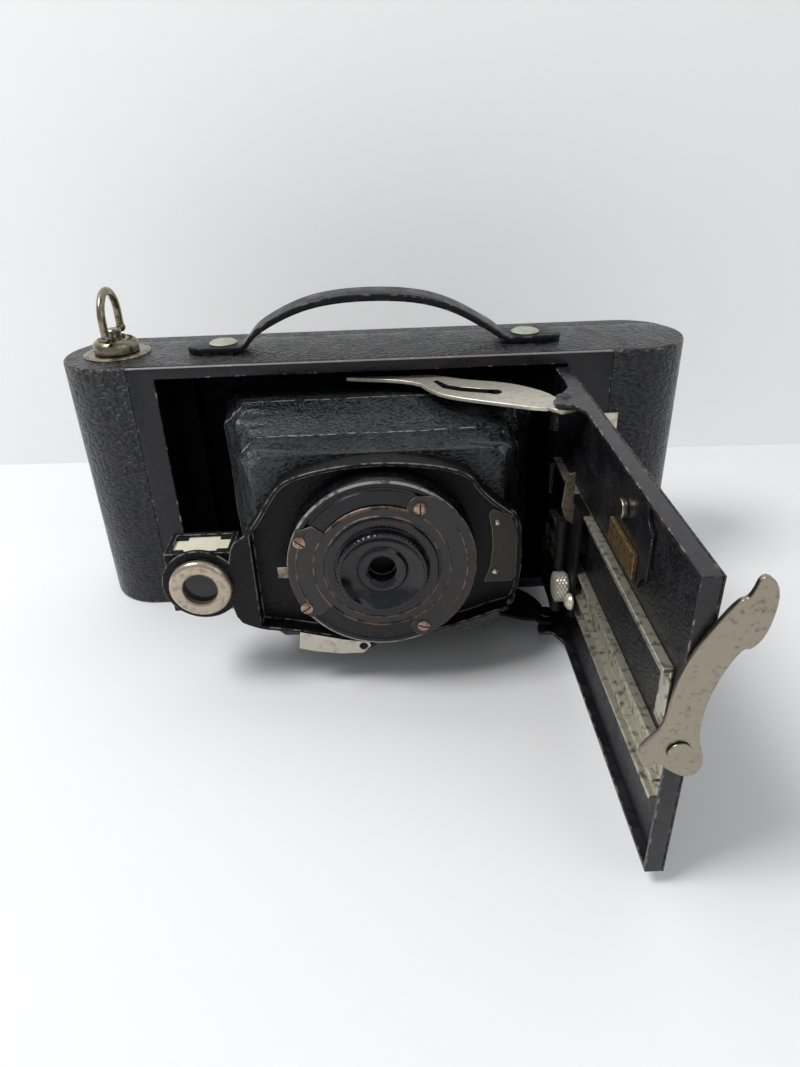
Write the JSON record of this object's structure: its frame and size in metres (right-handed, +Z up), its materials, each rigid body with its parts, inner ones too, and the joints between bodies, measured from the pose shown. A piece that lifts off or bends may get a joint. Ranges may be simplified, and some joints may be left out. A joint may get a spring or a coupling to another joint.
{
  "type": "folding roll-film camera",
  "caption": "Folding roll-film camera with a rounded casing, swing-out bed, bellows, round shutter, reflecting finder, braces, leg, winding key and carrying strap.",
  "frame": {"origin": "centre of the base, on the axis of the tripod socket", "axes": "+X along the casing towards the bed hinge, +Y from front to back, +Z up"},
  "size_m": [0.21, 0.169, 0.1117],
  "materials": {
    "painted_case": "black enamel on pressed metal",
    "black_leather": "pebble-grained black leatherette",
    "strap_leather": "smooth black strap leather",
    "nickel": "aged nickel plate",
    "steel": "plain steel",
    "black_enamel": "black enamel, rubbed at the edges",
    "shutter_black": "satin black lacquer",
    "brown_lacquer": "dark oxidised brass",
    "brass": "dull brass",
    "glass": "clear glass",
    "red_glass": "deep red glass",
    "ground_glass": "ground glass",
    "mirror": "silvered glass",
    "wood": "turned hardwood",
    "bellows_leather": "thin black bellows leather"
  },
  "bodies": {
    "casing": {"shell_top": "painted_case", "shell_base": "painted_case", "take_up_end": "painted_case", "supply_end": "painted_case", "film_frame": "painted_case", "bed_hinge_pin": "steel", "front_frame": "black_enamel", "body_leather": "black_leather", "back_cover": "painted_case", "back_leather": "black_leather", "red_window": "red_glass", "note_door_hinge": "steel", "stylus": "nickel", "key_flange": "nickel", "carry_strap": "strap_leather", "strap_rivets": "nickel", "tripod_bush": "nickel"},
    "note_door": {"film_note_door": "black_enamel"},
    "winding_key": {"key_boss": "nickel", "take_up_spool": "wood"},
    "key_loop": {"key_bail": "nickel"},
    "supply_film_spool": {"supply_spool": "wood"},
    "left_roller": {"film_roller_left": "nickel"},
    "right_roller": {"film_roller_right": "nickel"},
    "lock_tab": {"back_lock_tab": "nickel"},
    "bed": {"bed_panel": "black_enamel", "bed_lining": "black_leather", "bed_leather": "black_leather", "upper_rail": "nickel", "lower_rail": "nickel", "distance_scale": "black_enamel", "scale_pointer": "brass", "scale_screw": "nickel", "focus_carriage": "black_enamel", "front_post": "black_enamel", "focus_grip": "nickel", "upper_brace_rivet": "nickel", "lower_brace_rivet": "steel", "leg_rivet": "nickel"},
    "focus_clamp": {"clamp_knob": "nickel"},
    "top_brace": {"upper_brace": "nickel"},
    "bottom_brace": {"lower_brace": "black_enamel"},
    "bed_leg": {"leg": "nickel"},
    "lens_front": {"lens_board": "black_enamel", "neck_plate": "brown_lacquer", "lens_cell": "black_enamel", "taking_lens": "glass", "shutter_housing": "shutter_black", "shutter_face_plate": "brown_lacquer", "face_plate_screws": "brass", "lens_hood": "shutter_black", "bellows": "bellows_leather"},
    "stop": {"aperture_lever": "nickel"},
    "blade": {"shutter_blade": "steel"},
    "release": {"release_lever": "nickel"},
    "finder": {"finder_case": "black_enamel", "finder_ring": "nickel", "finder_lens": "glass", "finder_window": "ground_glass", "finder_mirror": "mirror"}
  },
  "joints": [
    {"name": "bed_fold", "type": "hinge", "parent": "casing", "child": "bed", "pos_m": [0.06, -0.017, 0.045], "axis": [0, 0, 1], "range_deg": [-90, 0]},
    {"name": "front_slide", "type": "slide", "parent": "casing", "child": "lens_front", "axis": [0, 1, 0], "range_m": [0, 0.065], "deforming": ["bellows"]},
    {"name": "top_brace_swing", "type": "hinge", "parent": "bed", "child": "top_brace", "pos_m": [0.0545, -0.048, 0.0824], "axis": [0, 0, 1], "range_deg": [0, 115.81]},
    {"name": "bottom_brace_swing", "type": "hinge", "parent": "bed", "child": "bottom_brace", "pos_m": [0.0545, -0.048, 0.0076], "axis": [0, 0, 1], "range_deg": [0, 115.81]},
    {"name": "leg_swing", "type": "hinge", "parent": "bed", "child": "bed_leg", "pos_m": [0.0594, -0.1462, 0.0445], "axis": [0, 1, 0], "range_deg": [0, 68]},
    {"name": "focus_clamp_turn", "type": "hinge", "parent": "bed", "child": "focus_clamp", "pos_m": [0.053, -0.0645, 0.0305], "axis": [1, 0, 0], "range_deg": [0, 270]},
    {"name": "key_turn", "type": "hinge", "parent": "casing", "child": "winding_key", "pos_m": [-0.0875, 0, 0.093], "axis": [0, 0, 1], "continuous": true},
    {"name": "key_loop_fold", "type": "hinge", "parent": "winding_key", "child": "key_loop", "pos_m": [-0.0875, 0, 0.0968], "axis": [0, 1, 0], "range_deg": [-80, 80]},
    {"name": "supply_spool_turn", "type": "hinge", "parent": "casing", "child": "supply_film_spool", "pos_m": [0.0875, 0, 0.045], "axis": [0, 0, 1], "continuous": true},
    {"name": "left_roller_turn", "type": "hinge", "parent": "casing", "child": "left_roller", "pos_m": [-0.0688, 0.0104, 0.045], "axis": [0, 0, 1], "continuous": true},
    {"name": "right_roller_turn", "type": "hinge", "parent": "casing", "child": "right_roller", "pos_m": [0.0645, 0.0104, 0.045], "axis": [0, 0, 1], "continuous": true},
    {"name": "back_lock_slide", "type": "slide", "parent": "casing", "child": "lock_tab", "axis": [0, 0, -1], "range_m": [0, 0.003]},
    {"name": "note_door_swing", "type": "hinge", "parent": "casing", "child": "note_door", "pos_m": [-0.0435, 0.0202, 0.045], "axis": [0, 0, 1], "range_deg": [0, 100]},
    {"name": "finder_turn", "type": "hinge", "parent": "lens_front", "child": "finder", "pos_m": [-0.0537, -0.063, 0.0385], "axis": [0, 1, 0], "range_deg": [-90, 0]},
    {"name": "stop_turn", "type": "hinge", "parent": "lens_front", "child": "stop", "pos_m": [0, -0.07, 0.045], "axis": [0, 1, 0], "range_deg": [-8, 8]},
    {"name": "release_press", "type": "hinge", "parent": "lens_front", "child": "release", "pos_m": [-0.007, -0.068, 0.0144], "axis": [0, 1, 0], "range_deg": [-14, 0], "stiffness_Nm_per_rad": 0.004},
    {"name": "blade_swing", "type": "hinge", "parent": "lens_front", "child": "blade", "pos_m": [0, -0.0662, 0.061], "axis": [0, 1, 0], "range_deg": [0, 40.01]}
  ],
  "couplings": [
    {"joint": "front_slide", "follows": "bed_fold", "m_per_rad": -0.04138},
    {"joint": "top_brace_swing", "follows": "bed_fold", "ratio": -1.2867},
    {"joint": "bottom_brace_swing", "follows": "bed_fold", "ratio": -1.2867},
    {"joint": "blade_swing", "follows": "release_press", "ratio": -2.8571}
  ]
}
